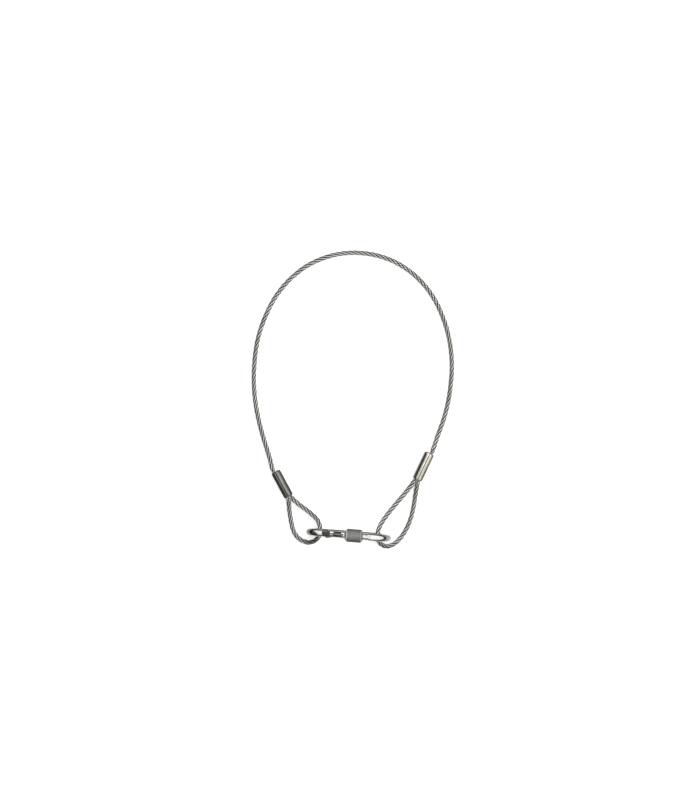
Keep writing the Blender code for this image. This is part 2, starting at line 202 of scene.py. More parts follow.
# Small turned pieces
RIVET_RADIUS = 0.0010
RIVET_HEAD_RADIUS = 0.0019
RIVET_HEAD_TOP = 0.0038
RIVET_HEAD_RIM = 0.0003
DOME_STEPS = 5
PIN_RADIUS = 0.0009
PIN_HALF_LENGTH = 0.0023
PIN_ROUNDING = 0.0003
PIN_END_FLAT = 0.0002
PLUNGER_RADIUS = 0.00152
PLUNGER_NOSE_RADIUS = 0.0006
PLUNGER_PLACES = (0.0023, 0.0044, 0.0111, 0.0170)
STEM_RADIUS = 0.0006
PIECE_SIDES = 40

SPRING_WIRE = 0.00018
SPRING_COIL = 0.00112
SPRING_START, SPRING_END = 0.0118, 0.0231
SPRING_TURNS = 9
SPRING_STEPS = 24  # for each turn
SPRING_WIRE_SIDES = 10

# Sleeve
SLEEVE_START, SLEEVE_LENGTH = 0.0141, 0.0144
SLEEVE_RADIUS = 0.0055
SLEEVE_THREAD_RADIUS, SLEEVE_THREAD_LENGTH = 0.0029, 0.0080
SLEEVE_MOUTH_RADIUS = 0.0034
SLEEVE_MOUTH_CHAMFER = 0.0003
HINGE_CHAMFER = (0.0019, 0.0020, 0.0004)  # along the sleeve, across it, and the rise of its rounded lip
NOSE_CHAMFER = (0.0009, 0.0015, 0.0003)
LIP_LENGTH = 0.0002
KNURL_DROP = 0.0003  # from the knurl's points to the top of a chamfer
KNURLS_ROUND = 22
KNURL_SIZE = 2 * math.pi * SLEEVE_RADIUS / KNURLS_ROUND
KNURL_DEPTH = 0.00030
KNURL_END_SHARE = 0.25  # of the depth, where the knurl runs out
KNURL_SAMPLES = 6  # mesh steps across one diamond

# Gaps, cuts and edges
GAP = 0.0003
PIN_GAP = GAP / 3
PAST = 0.0010  # how far a cutter reaches past the metal
THROUGH = 4 * ROD_RADIUS  # depth of a hole that goes right through
EDGE = 0.00016  # rounded edges of the machined pieces
EDGE_STEPS = 3
EDGE_ANGLE = 40  # the least angle that gets a rounded edge

# Faces that meet at more than these angles keep a sharp edge between them
SHARP_ANGLE = 35
SHARP_KNURL_ANGLE = 30
SHARP_SPRING_ANGLE = 60
SHARP_WIRE_ANGLE = 75

# Camera, straight above
VIEW_CENTRE = (-0.00247, -0.00041)
VIEW_HEIGHT = 0.6592  # what the picture's long side covers
CAMERA_HEIGHT = 2.6
CAMERA_REACH = 20
SENSOR = 0.036

# Surroundings
FLOOR_RADIUS = 4.0
FLOOR_SIDES = 64
FLOOR_DROP = 0.0002
LIGHT_PLACE = (0.5, 0.3, 1.6)
LIGHT_SIZE = 1.0
LIGHT_POWER = 12
TENT_STRENGTH = 1.35

# The mix node's colour sockets share their names with others, so they go by number
MIX_SHARE, MIX_FIRST, MIX_SECOND, MIX_RESULT = 0, 6, 7, 2


# Meshes


def mesh_object(name, mesh, matrix):
    item = bpy.data.objects.new(name, mesh)
    bpy.context.scene.collection.objects.link(item)
    item.matrix_world = matrix
    return item


def finish_mesh(name, shape, angle=SHARP_ANGLE):
    """A smooth-shaded mesh with its sharp edges kept and every face pointing out."""
    bmesh.ops.recalc_face_normals(shape, faces=shape.faces)
    mesh = bpy.data.meshes.new(name)
    shape.to_mesh(mesh)
    shape.free()
    mesh.shade_smooth()
    mesh.set_sharp_from_angle(angle=math.radians(angle))
    return mesh


def skin_rings(name, rings, ends_meet=False, angle=SHARP_ANGLE):
    """A closed mesh over rings that have equally many points: capped, or round to the first ring again."""
    shape = bmesh.new()
    made = [[shape.verts.new(point) for point in ring] for ring in rings]
    pairs = list(zip(made, made[1:]))
    if ends_meet:
        pairs.append((made[-1], made[0]))
    else:
        shape.faces.new(made[0])
        shape.faces.new(made[-1])
    for first, second in pairs:
        for i in range(len(first)):
            j = (i + 1) % len(first)
            shape.faces.new((first[i], first[j], second[j], second[i]))
    return finish_mesh(name, shape, angle)


def keep_values(mesh, name, values):
    """Gives each point of the mesh a number for its material to read."""
    mesh.attributes.new(name, "FLOAT", "POINT").data.foreach_set("value", values)


def circle(along, radius, sides):
    """Points round the x axis, the first straight down."""
    turns = [2 * math.pi * i / sides for i in range(sides)]
    return [Vector((along, radius * math.sin(turn), -radius * math.cos(turn))) for turn in turns]


def at_radius(point, radius):
    """A point moved straight in or out, to this radius round the x axis."""
    return Vector((point.x, *(point.yz.normalized() * radius)))


def wire_ring(point, side, up, radius, sides):
    """A round ring about a point of a wire, across the wire."""
    turns = [2 * math.pi * i / sides for i in range(sides)]
    return [point + (side * math.cos(turn) + up * math.sin(turn)) * radius for turn in turns]


def rounded(profile, radius, steps=3):
    """The (along, radius) profile with each inner corner replaced by the points of a small curve."""
    points = [Vector(point) for point in profile]
    made = [points[0]]
    for before, corner, after in zip(points, points[1:], points[2:]):
        reach = min(radius, (corner - before).length / 2, (after - corner).length / 2)
        first = corner + (before - corner).normalized() * reach
        last = corner + (after - corner).normalized() * reach
        for i in range(steps + 1):
            share = i / steps
            made.append(first.lerp(corner, share).lerp(corner.lerp(last, share), share))
    made.append(points[-1])
    return [tuple(point) for point in made]


def turned(name, profile, sides):
    """A solid piece turned about the x axis, from (place along it, radius) pairs."""
    return skin_rings(name, [circle(along, radius, sides) for along, radius in profile])


def block(low, high):
    """A cutter with straight sides, between two corners."""
    shape = bmesh.new()
    sizes = [top - bottom for bottom, top in zip(low, high)]
    middle = [(top + bottom) / 2 for bottom, top in zip(low, high)]
    bmesh.ops.create_cube(shape, size=1, matrix=Matrix.Translation(middle) @ Matrix.Diagonal((*sizes, 1)))
    return finish_mesh("block", shape)


def drill(centre, radius, depth, axis):
    """A round cutter of this depth, centred, along x or y."""
    across = Matrix.Rotation(math.radians(90), 4, "Y" if axis == "x" else "X")
    shape = bmesh.new()
    bmesh.ops.create_cone(
        shape,
        cap_ends=True,
        segments=PIECE_SIDES,
        radius1=radius,
        radius2=radius,
        depth=depth,
        matrix=Matrix.Translation(centre) @ across,
    )
    return finish_mesh("drill", shape)


def settle(item):
    """Applies every modifier."""
    bpy.context.view_layer.update()
    graph = bpy.context.evaluated_depsgraph_get()
    mesh = bpy.data.meshes.new_from_object(item.evaluated_get(graph))
    item.modifiers.clear()
    item.data = mesh


def soften_edges(item):
    """Rounds the edges that the cutters leave."""
    soften = item.modifiers.new("edges", "BEVEL")
    soften.width = EDGE
    soften.segments = EDGE_STEPS
    soften.limit_method = "ANGLE"
    soften.angle_limit = math.radians(EDGE_ANGLE)
    soften.use_clamp_overlap = True
    soften.harden_normals = True
    settle(item)


def carve(item, shaping, slotting, matrix, outside, inside):
    """Takes both lists of cutter meshes out of the item and rounds its edges.

    The faces that the slotting cutters leave get the inside material, which is painted dark as shade.
    """
    for mesh in (item.data, *shaping, *slotting):
        mesh.materials.append(outside)
        mesh.materials.append(inside)
    for cutter in slotting:
        for face in cutter.polygons:
            face.material_index = 1
    helpers = [mesh_object(f"{item.name}_cutter", cutter, matrix) for cutter in (*shaping, *slotting)]
    for helper in helpers:
        boolean = item.modifiers.new("cut", "BOOLEAN")
        boolean.operation = "DIFFERENCE"
        boolean.solver = "EXACT"
        boolean.object = helper
    settle(item)
    for helper in helpers:
        bpy.data.objects.remove(helper)
    soften_edges(item)


def dress(item, node, material=None):
    """Makes a piece stand for its CAD node, on that node's body, with the material given.

    A carved piece has its materials already.
    """
    if material:
        item.data.materials.append(material)
    bodies = frame["record"]["behaviour"]["bodies"]
    body = next(name for name, nodes in bodies.items() if node in nodes)
    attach(item, body)
    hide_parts(node)


# Rope


def ferrule_points(ferrule):
    """The mouths of both legs, as (leg, end): outer or inner leg, at the eye's end or the run's end."""
    heading = math.radians(ferrule["heading"])
    along = Vector((math.cos(heading), math.sin(heading), 0))
    outwards = Vector((-along.y, along.x, 0)) * ferrule["outer"]
    middle = Vector((*ferrule["middle"], ferrule["radius"]))
    points = {
        (leg, end): middle + outwards * LEG_OFFSET * side + along * ferrule["length"] / 2 * way
        for leg, side in (("outer", 1), ("inner", -1))
        for end, way in (("eye", -1), ("run", 1))
    }
    return points, along


def curve_through(knots, first_way, last_way):
    """Fine points on a smooth curve through the knots, which leaves and arrives these ways."""
    knots = [Vector(knot) for knot in knots]
    ways = [first_way]
    for before, after in zip(knots, knots[2:]):
        ways.append((after - before).normalized())
    ways.append(last_way)
    fine = [knots[0]]
    for i, (start, end) in enumerate(zip(knots, knots[1:])):
        reach = (end - start).length / 3
        handles = start + ways[i] * reach, end - ways[i + 1] * reach
        fine += interpolate_bezier(start, *handles, end, ROUTE_STEPS)[1:]
    return fine


def evenly_spaced(fine, step):
    """Points about a step apart along a line of finer points."""
    lengths = [0.0]
    for before, after in zip(fine, fine[1:]):
        lengths.append(lengths[-1] + (after - before).length)
    count = round(lengths[-1] / step)
    points, reached = [], 0
    for i in range(count + 1):
        wanted = lengths[-1] * i / count
        while reached < len(fine) - 2 and lengths[reached + 1] < wanted:
            reached += 1
        share = (wanted - lengths[reached]) / (lengths[reached + 1] - lengths[reached])
        points.append(fine[reached].lerp(fine[reached + 1], share))
    return points


def pressed_leg(start, end):
    """Points after the start of a straight leg in a ferrule, and the rope's share of its full size there."""
    count = max(1, round((end - start).length / ROPE_STEP))
    return [start.lerp(end, i / count) for i in range(1, count + 1)], [PRESSED_SHARE] * count


def free_stretch(start, knots, end, first_way, last_way):
    """Points after the start of a stretch between ferrules, and the rope's share of its full size there."""
    points = evenly_spaced(curve_through([start, *knots, end], first_way, last_way), ROPE_STEP)
    points[-1] = end
    sizes = []
    for i in range(1, len(points)):
        from_mouth = min(i, len(points) - 1 - i) * ROPE_STEP
        share = min(1, from_mouth / PRESS_TAPER)
        sizes.append(PRESSED_SHARE + (1 - PRESSED_SHARE) * share * share * (3 - 2 * share))
    return points[1:], sizes


def rope_route():
    """The rope's centreline, and the rope's share of its full size at each point."""
    left, left_way = ferrule_points(LEFT_FERRULE)
    right, right_way = ferrule_points(RIGHT_FERRULE)
    stretches = [
        (left["inner", "eye"], LEFT_EYE, left["outer", "eye"], -left_way, left_way),
        (left["outer", "run"], LONG_RUN, right["outer", "run"], left_way, -right_way),
        (right["outer", "eye"], RIGHT_EYE, right["inner", "eye"], -right_way, right_way),
    ]
    first = left["inner", "run"] + left_way * DEAD_END_PROUD
    last = right["inner", "run"] + right_way * DEAD_END_PROUD
    points, sizes = [first], [PRESSED_SHARE]

    def add(more_points, more_sizes):
        points.extend(more_points)
        sizes.extend(more_sizes)

    for start, *rest in stretches:
        add(*pressed_leg(points[-1], start))
        add(*free_stretch(start, *rest))
    add(*pressed_leg(points[-1], last))
    return points, sizes


def frames_along(points):
    """(distance, point, way, side, up) along a line, with the side turned as little as possible."""
    frames, distance = [], 0.0
    side = None
    for i, point in enumerate(points):
        before, after = points[max(i - 1, 0)], points[min(i + 1, len(points) - 1)]
        way = (after - before).normalized()
        if side is None:
            side = way.cross(Vector((0, 0, 1)))
        side = (side - way * side.dot(way)).normalized()
        if i:
            distance += (point - points[i - 1]).length
        frames.append((distance, point, way, side, way.cross(side)))
    return frames


def strand_rings(frames, sizes, strand):
    """Rings round one outer strand, star-shaped for its wires, and each point's outness.

    The outness is the point's distance from the rope's centre, as a share of the rope's radius.
    """
    rings, outness = [], []
    centre_radius = ROPE_RADIUS - STRAND_RADIUS
    slope = math.atan(2 * math.pi * centre_radius / ROPE_LAY)
    for (distance, point, way, side, up), size in zip(frames, sizes):
        turn = 2 * math.pi * (distance / ROPE_LAY + strand / STRANDS)
        out = side * math.cos(turn) + up * math.sin(turn)
        round_way = up * math.cos(turn) - side * math.sin(turn)
        across = round_way * math.cos(slope) - way * math.sin(slope)
        centre = point + out * centre_radius * size
        twist = -2 * math.pi * distance / WIRE_LAY
        ring = []
        for i in range(2 * WIRES):
            angle = twist + math.pi * i / WIRES
            radius = STRAND_RADIUS * size * (WIRE_VALLEY if i % 2 else 1.0)
            ring.append(centre + (out * math.cos(angle) + across * math.sin(angle)) * radius)
            outness.append((ring[-1] - point).length / (ROPE_RADIUS * size))
        rings.append(ring)
    return rings, outness


def core_rings(frames, sizes):
    """Rings round the core, and an outness of 0 for each of their points."""
    rings = [
        wire_ring(point, side, up, CORE_RADIUS * size, CORE_SIDES)
        for (_, point, _, side, up), size in list(zip(frames, sizes))[::CORE_STEP]
    ]
    return rings, [0.0] * (CORE_SIDES * len(rings))


def tube_faces(start, count, sides):
    """The faces of a capped tube over this many rings, whose points are numbered from the start."""
    faces = []
    for low in range(start, start + (count - 1) * sides, sides):
        high = low + sides
        for i in range(sides):
            j = (i + 1) % sides
            faces.append((low + i, low + j, high + j, high + i))
    faces.append(tuple(start + i for i in reversed(range(sides))))
    faces.append(tuple(start + (count - 1) * sides + i for i in range(sides)))
    return faces


def rope_mesh(frames, sizes):
    """The outer strands and the core, with the outness of every point."""
    vertices, faces, outness = [], [], []
    tubes = [strand_rings(frames, sizes, strand) for strand in range(STRANDS)]
    for rings, out in (*tubes, core_rings(frames, sizes)):
        faces += tube_faces(len(vertices), len(rings), len(rings[0]))
        for ring in rings:
            vertices.extend(ring)
        outness += out
    mesh = bpy.data.meshes.new("wire_rope")
    mesh.from_pydata(vertices, [], faces)
    keep_values(mesh, "outness", outness)
    mesh.shade_smooth()
    mesh.set_sharp_from_angle(angle=math.radians(SHARP_WIRE_ANGLE))
    return mesh


def make_rope(material):
    """The stranded rope, which is one stiff cord from cut end to cut end."""
    points, sizes = rope_route()
    frames = frames_along(points)
    rope = mesh_object("stranded_rope", rope_mesh(frames, sizes), Matrix.Identity(4))
    dress(rope, "wire_rope", material)


# Ferrules


def ferrule_outside(ferrule):
    """The (along, radius) profile of the outside, with rounded ends."""
    half = ferrule["length"] / 2
    lengthways, inwards = FERRULE_ROUNDING
    end = []
    for i in range(ROUNDING_STEPS + 1):
        turn = math.radians(90) * i / ROUNDING_STEPS
        radius = ferrule["radius"] - inwards * (1 - math.sin(turn))
        end.append((half - lengthways * (1 - math.cos(turn)), radius))
    return [(-along, radius) for along, radius in end] + end[::-1]


def ferrule_bore(ferrule):
    """The (along, radius) profile of the bore, back from the far end, with flared mouths."""
    half = ferrule["length"] / 2
    mouth = [(half - inside, radius) for inside, radius in FERRULE_MOUTH]
    return mouth + [(0.0, FERRULE_BORE)] + [(-along, radius) for along, radius in reversed(mouth)]


def oval_ring(along, radius, half_spread, sides):
    """A stadium outline round the x axis: two half circles, a spread apart along y."""
    points = []
    for i, point in enumerate(circle(along, radius, sides)):
        middle = i % (sides // 2) == 0
        side = 0 if middle else math.copysign(half_spread, point.y)
        points.append(point + Vector((0, side, 0)))
    return points


def crease_share(point, ferrule):
    """How deep in the pressing's crease a point of the ferrule's outside lies, 0 to 1."""
    from_top = math.atan2(point.y, point.z) - math.radians(ferrule["crease"])
    return math.exp(-((from_top * ferrule["radius"] / CREASE_WIDTH) ** 2))


def make_ferrule(name, node, ferrule, material):
    """A pressed ferrule with rounded ends, a crease along it and an oval bore for both legs."""
    rings, creased = [], []
    for along, radius in ferrule_outside(ferrule):
        ring = []
        for point in circle(along, radius, FERRULE_SIDES):
            share = crease_share(point, ferrule)
            ring.append(at_radius(point, radius - CREASE_DEPTH * share))
            creased.append(share)
        rings.append(ring)
    for along, radius in ferrule_bore(ferrule):
        rings.append(oval_ring(along, radius, LEG_OFFSET, FERRULE_SIDES))
        creased += [0.0] * FERRULE_SIDES
    mesh = skin_rings(name, rings, ends_meet=True)
    keep_values(mesh, "crease", creased)
    heading = Matrix.Rotation(math.radians(ferrule["heading"]), 4, "Z")
    item = mesh_object(name, mesh, Matrix.Translation((*ferrule["middle"], ferrule["radius"])) @ heading)
    dress(item, node, material)


# Carabiner


def carabiner_shape():
    """The two bends' centres and the gate side's rise, with the back rod's axis on the x axis."""
    reach = CARABINER_LENGTH / 2 - ROD_RADIUS
    hinge = Vector((-reach + HINGE_BEND, 0, HINGE_BEND))
    nose = Vector((reach - NOSE_BEND, 0, NOSE_BEND))
    rise = 2 * math.atan2(nose.z - hinge.z, nose.x - hinge.x)
    return hinge, nose, rise


def rivet_place():
    """The middle of the hinge rivet, in the rod's own frame."""
    hinge, _, rise = carabiner_shape()
    start = hinge + Vector((-math.sin(rise), 0, math.cos(rise))) * HINGE_BEND
    return start + Vector((math.cos(rise), 0, math.sin(rise))) * RIVET_FROM_BEND


def roll_frame():
    """The rod's own frame: x along the back rod's axis, z up, from the middle of the carabiner."""
    turn = Matrix.Rotation(math.radians(CARABINER_TURN), 4, "Z")
    return Matrix.Translation((*CARABINER_MIDDLE, ROD_RADIUS)) @ turn


def gate_frame():
    """The gate's own frame: x along it from the rivet, y along the hinge, z outwards."""
    _, _, rise = carabiner_shape()
    return roll_frame() @ Matrix.Translation(rivet_place()) @ Matrix.Rotation(-rise, 4, "Y")


def bend_rings(centre, radius, first, last, steps):
    """Rings of the rod round a bend, from one angle about its centre to another."""
    rings = []
    for i in range(steps + 1):
        angle = math.radians(first + (last - first) * i / steps)
        place = Matrix.Translation(centre) @ Matrix.Rotation(-angle - math.pi / 2, 4, "Y")
        shift = Vector((0, 0, -radius))
        rings.append([place @ (point + shift) for point in circle(0, ROD_RADIUS, ROD_SIDES)])
    return rings


def gate_side_rings(stations):
    """Rings at (along, radius) stations of the gate side, in the rod's own frame."""
    _, _, rise = carabiner_shape()
    place = Matrix.Translation(rivet_place()) @ Matrix.Rotation(math.pi - rise, 4, "Y")
    return [[place @ point for point in circle(-along, radius, ROD_SIDES)] for along, radius in stations]


def flats(half_width, ends):
    """Two cutters that leave only a middle slab of a rod between two places along the gate side."""
    tall = ROD_RADIUS + PAST
    made = []
    for side in (-1, 1):
        inner, outer = sorted((side * half_width, side * tall))
        made.append(block((ends[0], inner, -tall), (ends[1], outer, tall)))
    return made


def body_slots():
    """Cutters that leave the tongue with its rivet hole, and the nose's claw with its notch for the pin."""
    tall = ROD_RADIUS + PAST
    wide = CLAW_HALF + PAST
    notch = PIN_RADIUS + GAP
    along, out = LATCH
    slots = flats(TONGUE_HALF, (TONGUE_SHOULDER, TONGUE_END + PAST))
    slots += flats(CLAW_HALF, (CLAW_TIP - PAST, NOSE_SHOULDER))
    slots.append(block((along - notch, -wide, -tall), (along + notch, wide, out + notch)))
    slots.append(block((CLAW_TIP - PAST, -wide, -tall), (along, wide, CLAW_UNDERSIDE)))
    slots.append(drill((0, 0, 0), RIVET_RADIUS + PIN_GAP, THROUGH, "y"))
    for side in (-1, 1):
        near, far = sorted((side * TONGUE_TOP, side * tall))
        slots.append(block((TONGUE_SHOULDER + GAP, -tall, near), (TONGUE_END + PAST, tall, far)))
    return slots


def make_carabiner_body(outside, inside):
    """The bent rod, from the tongue's end round both bends to the claw's tip."""
    hinge, nose, rise = carabiner_shape()
    lean = 90 + math.degrees(rise)
    tongue = [
        (TONGUE_END, ROD_RADIUS - TONGUE_CORNER),
        (TONGUE_END - TONGUE_CORNER, ROD_RADIUS),
        (TONGUE_BACK, ROD_RADIUS),
    ]
    rings = gate_side_rings(tongue)
    rings += bend_rings(hinge, HINGE_BEND, lean, DOWN, HINGE_BEND_STEPS)
    rings += bend_rings(nose, NOSE_BEND, DOWN - 360, lean, NOSE_BEND_STEPS)
    rings += gate_side_rings([(CLAW_TIP, ROD_RADIUS)])
    body = mesh_object("bent_rod", skin_rings("bent_rod", rings), roll_frame())
    carve(body, [], body_slots(), gate_frame(), outside, inside)
    dress(body, "carabiner_body")


def gate_slots():
    """Cutters for the ears' slot, the plunger's slot, the nose fork, the spring's bore and the pin's hole."""
    tall = ROD_RADIUS + PAST
    bore = HINGE_SLOT_END - PAST, SPRING_BORE_END
    return [
        block((GATE_TAIL - PAST, -EAR_SLOT_HALF, -tall), (EAR_SLOT_END, EAR_SLOT_HALF, tall)),
        block((EAR_SLOT_END - PAST, -HINGE_SLOT_HALF, -tall), (HINGE_SLOT_END, HINGE_SLOT_HALF, tall)),
        block((FORK_ROOT, -LATCH_SLOT_HALF, -tall), (GATE_TIP + PAST, LATCH_SLOT_HALF, tall)),
        drill((sum(bore) / 2, 0, 0), SPRING_BORE, bore[1] - bore[0], "x"),
        drill((LATCH[0], 0, LATCH[1]), PIN_RADIUS + PIN_GAP, THROUGH, "y"),
    ]


def make_gate(outside, inside):
    """The gate's rod, full size at the ears and thinner from there to its rounded tip."""
    profile = [
        (GATE_TAIL, GATE_END_FLAT),
        (GATE_TAIL, ROD_RADIUS),
        (EAR_END, ROD_RADIUS),
        (EAR_END + EAR_TAPER, GATE_RADIUS),
        (GATE_TIP, GATE_RADIUS),
        (GATE_TIP, GATE_END_FLAT),
    ]
    rod = turned("gate_rod", rounded(profile, GATE_ROUNDING, GATE_ROUNDING_STEPS), ROD_SIDES)
    gate = mesh_object("gate_rod", rod, gate_frame())
    ears = flats(EAR_FACE, (GATE_TAIL - PAST, RIVET_HEAD_RADIUS + PAST))
    carve(gate, ears, gate_slots(), gate_frame(), outside, inside)
    dress(gate, "gate")


def make_rivet(material):
    """The hinge rivet, with domed heads."""
    under = EAR_FACE + PIN_GAP
    tall = RIVET_HEAD_TOP - under - RIVET_HEAD_RIM
    half = [(under, RIVET_RADIUS), (under, RIVET_HEAD_RADIUS)]
    for i in range(DOME_STEPS + 1):
        turn = math.radians(90) * i / DOME_STEPS
        radius = max(PIN_END_FLAT, RIVET_HEAD_RADIUS * math.cos(turn))
        half.append((under + RIVET_HEAD_RIM + tall * math.sin(turn), radius))
    profile = [(-along, radius) for along, radius in reversed(half)] + half
    across = Matrix.Rotation(math.radians(90), 4, "Z")
    rivet = mesh_object("domed_rivet", turned("domed_rivet", profile, PIECE_SIDES), gate_frame() @ across)
    dress(rivet, "hinge_rivet", material)


def make_latch_pin(material):
    """The pin across the gate's nose fork."""
    profile = [
        (-PIN_HALF_LENGTH, PIN_END_FLAT),
        (-PIN_HALF_LENGTH, PIN_RADIUS),
        (PIN_HALF_LENGTH, PIN_RADIUS),
        (PIN_HALF_LENGTH, PIN_END_FLAT),
    ]
    mesh = turned("cross_pin", rounded(profile, PIN_ROUNDING), PIECE_SIDES)
    across = Matrix.Translation((LATCH[0], 0, LATCH[1])) @ Matrix.Rotation(math.radians(90), 4, "Z")
    pin = mesh_object("cross_pin", mesh, gate_frame() @ across)
    dress(pin, "latch_pin", material)


def make_plunger(material):
    """The plunger, with a thin nose in front and a stem for the spring behind."""
    nose, front, back, end = PLUNGER_PLACES
    profile = [
        (nose, PIN_END_FLAT),
        (nose, PLUNGER_NOSE_RADIUS),
        (front, PLUNGER_NOSE_RADIUS),
        (front, PLUNGER_RADIUS),
        (back, PLUNGER_RADIUS),
        (back, STEM_RADIUS),
        (end, STEM_RADIUS),
        (end, PIN_END_FLAT),
    ]
    plunger = mesh_object("plunger", turned("plunger", rounded(profile, EDGE), PIECE_SIDES), gate_frame())
    dress(plunger, "spring_plunger", material)


def make_spring(material):
    """A coil of round wire."""
    count = SPRING_STEPS * SPRING_TURNS
    points = []
    for i in range(count + 1):
        turn = 2 * math.pi * i / SPRING_STEPS
        along = SPRING_START + (SPRING_END - SPRING_START) * i / count
        points.append(Vector((along, SPRING_COIL * math.sin(turn), SPRING_COIL * math.cos(turn))))
    rings = [
        wire_ring(point, side, up, SPRING_WIRE, SPRING_WIRE_SIDES)
        for _, point, _, side, up in frames_along(points)
    ]
    coil = skin_rings("coil_spring", rings, angle=SHARP_SPRING_ANGLE)
    dress(mesh_object("coil_spring", coil, gate_frame()), "gate_spring", material)


# Sleeve


def sleeve_stations():
    """(along, radius, knurl depth) of every ring: over the outside, then back through the bore."""
    start, end = SLEEVE_START, SLEEVE_START + SLEEVE_LENGTH
    hinge_along, hinge_across, hinge_lip = HINGE_CHAMFER
    nose_along, nose_across, nose_lip = NOSE_CHAMFER
    first, last = start + hinge_along, end - nose_along
    step_in = start + SLEEVE_THREAD_LENGTH
    stations = [
        (start, SLEEVE_RADIUS - hinge_across, 0),
        (start + LIP_LENGTH, SLEEVE_RADIUS - hinge_across + hinge_lip, 0),
        (first - LIP_LENGTH, SLEEVE_RADIUS - KNURL_DROP, 0),
    ]
    count = round((last - first) * KNURL_SAMPLES / KNURL_SIZE)
    for i in range(count + 1):
        share = min(1, 2 * min(i, count - i) / KNURL_SAMPLES + KNURL_END_SHARE)
        stations.append((first + (last - first) * i / count, SLEEVE_RADIUS, KNURL_DEPTH * share))
    stations += [
        (last + LIP_LENGTH, SLEEVE_RADIUS - KNURL_DROP, 0),
        (end - LIP_LENGTH, SLEEVE_RADIUS - nose_across + nose_lip, 0),
        (end, SLEEVE_RADIUS - nose_across, 0),
        (end, SLEEVE_MOUTH_RADIUS + SLEEVE_MOUTH_CHAMFER, 0),
        (end - SLEEVE_MOUTH_CHAMFER, SLEEVE_MOUTH_RADIUS, 0),
        (step_in, SLEEVE_MOUTH_RADIUS, 0),
        (step_in, SLEEVE_THREAD_RADIUS, 0),
        (start + SLEEVE_MOUTH_CHAMFER, SLEEVE_THREAD_RADIUS, 0),
        (start, SLEEVE_THREAD_RADIUS + SLEEVE_MOUTH_CHAMFER, 0),
    ]
    return stations


def knurl_height(around, along):
    """0 at the grooves of a diamond knurl and 1 on its points, both inputs counted in diamonds."""
    first = abs((around + along) % 1.0 - 0.5) * 2
    second = abs((around - along) % 1.0 - 0.5) * 2
    return 1 - max(first, second)


def make_sleeve(material):
    """The screw sleeve, with a diamond knurl between its chamfers."""
    rings, knurl_height_for_shade = [], []
    for along, radius, depth in sleeve_stations():
        ring = []
        for i, point in enumerate(circle(along, radius, KNURLS_ROUND * KNURL_SAMPLES)):
            low = depth * (1 - knurl_height(i / KNURL_SAMPLES, (along - SLEEVE_START) / KNURL_SIZE))
            ring.append(at_radius(point, radius - low))
            knurl_height_for_shade.append(1 - low / KNURL_DEPTH)
        rings.append(ring)
    mesh = skin_rings("knurled_sleeve", rings, ends_meet=True, angle=SHARP_KNURL_ANGLE)
    keep_values(mesh, "knurl_height_for_shade", knurl_height_for_shade)
    sleeve = mesh_object("knurled_sleeve", mesh, gate_frame())
    dress(sleeve, "locking_sleeve", material)


# Materials


class Nodes:
    """A node tree and the few steps that the materials and the world share."""

    def __init__(self, tree):
        self.tree = tree
        self.coordinates = self.node("ShaderNodeTexCoord").outputs

    def node(self, kind, **settings):
        made = self.tree.nodes.new(kind)
        for name, value in settings.items():
            setattr(made, name, value)
        return made

    def link(self, output, node, socket):
        self.tree.links.new(output, node.inputs[socket])

    def ramp(self, value, stops):
        """A colour ramp; each stop is (place, grey) or (place, colour)."""
        made = self.node("ShaderNodeValToRGB")
        bar = made.color_ramp.elements
        while len(bar) < len(stops):
            bar.new(0.5)
        for element, (place, colour) in zip(bar, stops):
            element.position = place
            rgb = (colour,) * 3 if isinstance(colour, (int, float)) else colour
            element.color = (*rgb, 1.0)
        self.link(value, made, "Fac")
        return made.outputs["Color"]

    def blend(self, first, second, how, share=None):
        """Two colours blended, fully or by another value."""
        made = self.node("ShaderNodeMix", data_type="RGBA", blend_type=how)
        made.inputs[MIX_SHARE].default_value = 1.0
        if share:
            self.link(share, made, MIX_SHARE)
        self.link(first, made, MIX_FIRST)
        self.link(second, made, MIX_SECOND)
        return made.outputs[MIX_RESULT]


class Look(Nodes):
    """A Principled material, whose patterns are in the object's own metres."""

    def __init__(self, name, metallic=1.0):
        self.material = bpy.data.materials.new(name)
        self.material.use_nodes = True
        super().__init__(self.material.node_tree)
        self.shader = self.tree.nodes["Principled BSDF"]
        self.shader.inputs["Metallic"].default_value = metallic

    def noise(self, scale, detail, stretch=(1, 1, 1)):
        """Noise whose scale is multiplied by the stretch along x, y and z."""
        mapping = self.node("ShaderNodeMapping")
        mapping.inputs["Scale"].default_value = stretch
        self.link(self.coordinates["Object"], mapping, "Vector")
        made = self.node("ShaderNodeTexNoise")
        made.inputs["Scale"].default_value = scale
        made.inputs["Detail"].default_value = detail
        self.link(mapping.outputs["Vector"], made, "Vector")
        return made.outputs["Fac"]

    def kept_value(self, name):
        """The number that the mesh keeps for each of its points."""
        return self.node("ShaderNodeAttribute", attribute_name=name).outputs["Fac"]

    def bump(self, height, distance, strength, under=None):
        made = self.node("ShaderNodeBump")
        made.inputs["Distance"].default_value = distance
        made.inputs["Strength"].default_value = strength
        self.link(height, made, "Height")
        if under:
            self.link(under, made, "Normal")
        return made.outputs["Normal"]

    def paint(self, colour, normal, roughness=None):
        """The finished material; a uniform roughness is set on the shader itself."""
        self.link(colour, self.shader, "Base Color")
        self.link(normal, self.shader, "Normal")
        if roughness:
            self.link(roughness, self.shader, "Roughness")
        return self.material


